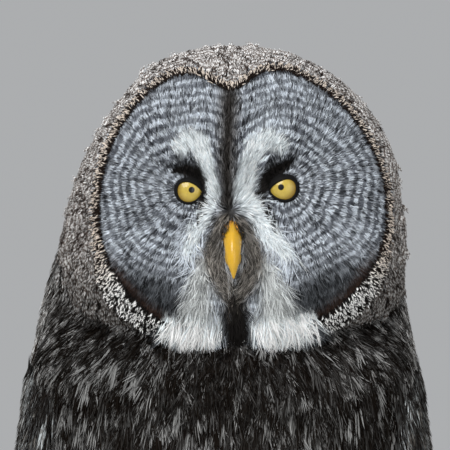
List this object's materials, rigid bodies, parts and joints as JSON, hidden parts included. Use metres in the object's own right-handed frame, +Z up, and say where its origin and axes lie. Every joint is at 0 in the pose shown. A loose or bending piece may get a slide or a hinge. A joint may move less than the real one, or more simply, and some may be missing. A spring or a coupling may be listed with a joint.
{
  "type": "great grey owl",
  "caption": "Great grey owl at life size, standing upright with folded wings and looking straight ahead.",
  "frame": {"origin": "on the floor, in the middle of the owl's width and length", "axes": "+Z up, -Y the way the bill points, +X the owl's left side"},
  "size_m": [0.2382, 0.4776, 0.5646],
  "materials": {
    "plumage": "soft barred grey and brown body feathers",
    "flight_feathers": "smooth barred wing and tail feathers",
    "leg_down": "short dense downy feathers",
    "eyes": "wet yellow iris with a small black pupil",
    "bill": "waxy yellow horn",
    "claws": "polished black horn"
  },
  "bodies": {
    "root": {"head": "plumage", "neck": "plumage", "torso": "plumage", "bill_upper": "bill", "bill_lower": "bill", "eye_left": "eyes", "eye_right": "eyes", "wing_left": "flight_feathers", "wing_right": "flight_feathers", "tail": "flight_feathers", "thigh_left": "leg_down", "shank_left": "leg_down", "foot_left": "leg_down", "claw_left_inner": "claws", "claw_left_middle": "claws", "claw_left_outer": "claws", "claw_left_hind": "claws", "thigh_right": "leg_down", "shank_right": "leg_down", "foot_right": "leg_down", "claw_right_inner": "claws", "claw_right_middle": "claws", "claw_right_outer": "claws", "claw_right_hind": "claws"}
  },
  "joints": []
}
